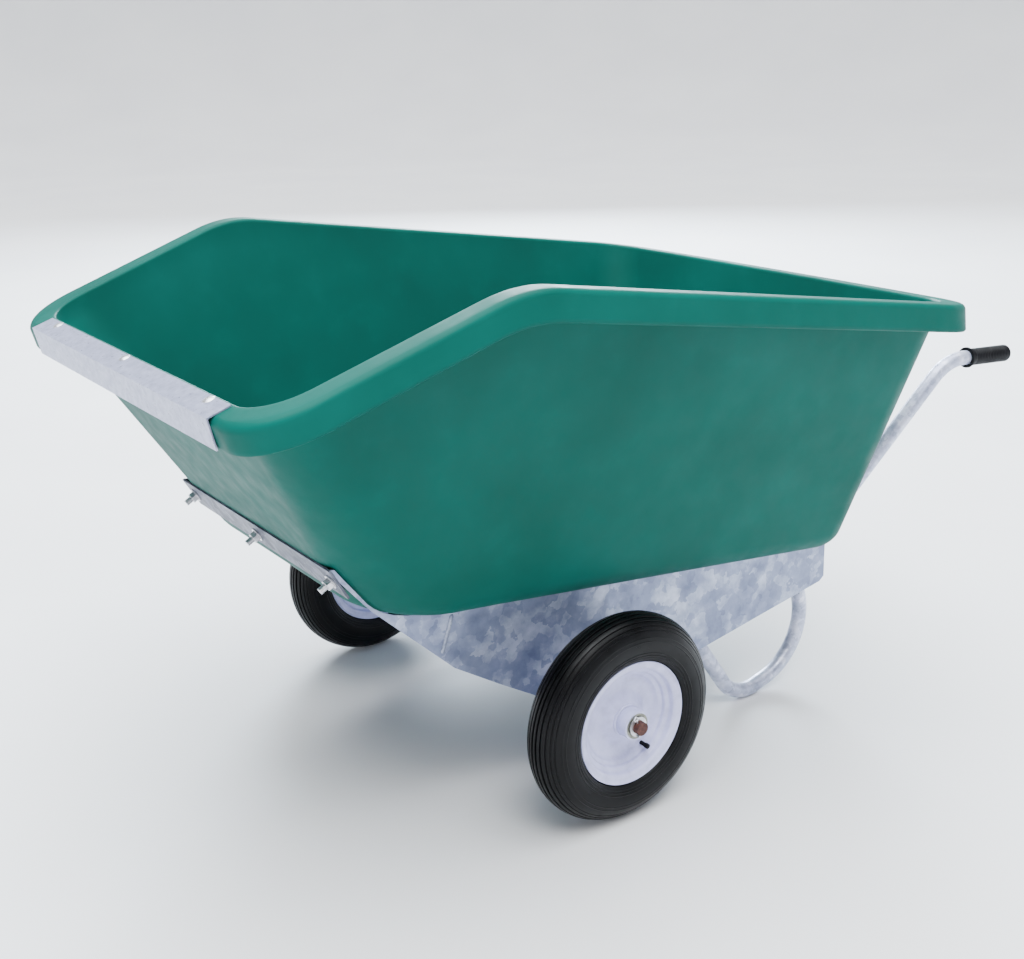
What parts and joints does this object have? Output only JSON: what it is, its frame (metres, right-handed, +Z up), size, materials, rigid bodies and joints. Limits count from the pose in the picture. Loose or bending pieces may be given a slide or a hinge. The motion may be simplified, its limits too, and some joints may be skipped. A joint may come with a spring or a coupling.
{
  "type": "grain cart",
  "caption": "Two-wheeled tipping grain cart: a moulded plastic tub with a low pouring lip on a galvanised frame, with pneumatic wheels, rear legs and push handles.",
  "frame": {"origin": "on the ground at the middle of the cart's overall length and width, standing on its wheels and legs", "axes": "+X towards the pouring lip at the front, +Y to the cart's left, +Z up"},
  "size_m": [1.9472, 1.135, 1.0238],
  "materials": {
    "tub_plastic": "moulded green polyethylene with a fine grain and a soft sheen",
    "bright_zinc": "bright zinc plated sheet",
    "galvanised_steel": "hot-dip galvanised steel with spangle",
    "zinc_fastener": "zinc plated fasteners",
    "rusty_steel": "bare steel bar with light rust",
    "tyre_rubber": "black tyre rubber",
    "tube_rubber": "smooth black butyl",
    "grip_rubber": "ribbed black rubber",
    "valve_rubber": "black rubber and a plastic cap",
    "rim_coating": "pale grey powder coating on pressed steel",
    "bearing_steel": "ground steel with grey seals"
  },
  "bodies": {
    "cart": {"tub": "tub_plastic", "lip_guard": "bright_zinc", "lip_guard_bolts": "zinc_fastener", "lip_guard_nuts": "zinc_fastener", "side_plate_left": "galvanised_steel", "side_plate_right": "galvanised_steel", "front_strap": "galvanised_steel", "strap_bolts": "zinc_fastener", "strap_washers": "zinc_fastener", "strap_nuts": "zinc_fastener", "cross_bar_front": "galvanised_steel", "cross_bar_rear": "galvanised_steel", "floor_bolts": "zinc_fastener", "floor_washers": "zinc_fastener", "floor_nuts": "zinc_fastener", "handle_tube_left": "galvanised_steel", "handle_tube_right": "galvanised_steel", "grip_left": "grip_rubber", "grip_right": "grip_rubber", "leg_loop_left": "galvanised_steel", "leg_loop_right": "galvanised_steel", "axle": "rusty_steel", "axle_tube": "galvanised_steel", "spacer_left": "galvanised_steel", "spacer_right": "galvanised_steel", "axle_washers": "zinc_fastener", "split_pin_left": "zinc_fastener", "split_pin_right": "zinc_fastener"},
    "wheel_left": {"tyre_left": "tyre_rubber", "inner_tube_left": "tube_rubber", "rim_outer_left": "rim_coating", "rim_inner_left": "rim_coating", "hub_tube_left": "rim_coating", "bearing_outer_left": "bearing_steel", "bearing_inner_left": "bearing_steel", "valve_stem_left": "valve_rubber", "valve_cap_left": "valve_rubber"},
    "wheel_right": {"tyre_right": "tyre_rubber", "inner_tube_right": "tube_rubber", "rim_outer_right": "rim_coating", "rim_inner_right": "rim_coating", "hub_tube_right": "rim_coating", "bearing_outer_right": "bearing_steel", "bearing_inner_right": "bearing_steel", "valve_stem_right": "valve_rubber", "valve_cap_right": "valve_rubber"}
  },
  "joints": [
    {"name": "wheel_left_turn", "type": "hinge", "parent": "cart", "child": "wheel_left", "pos_m": [0.26474, 0.4555, 0.2], "axis": [0, 1, 0], "continuous": true},
    {"name": "wheel_right_turn", "type": "hinge", "parent": "cart", "child": "wheel_right", "pos_m": [0.26474, -0.4555, 0.2], "axis": [0, 1, 0], "continuous": true}
  ]
}
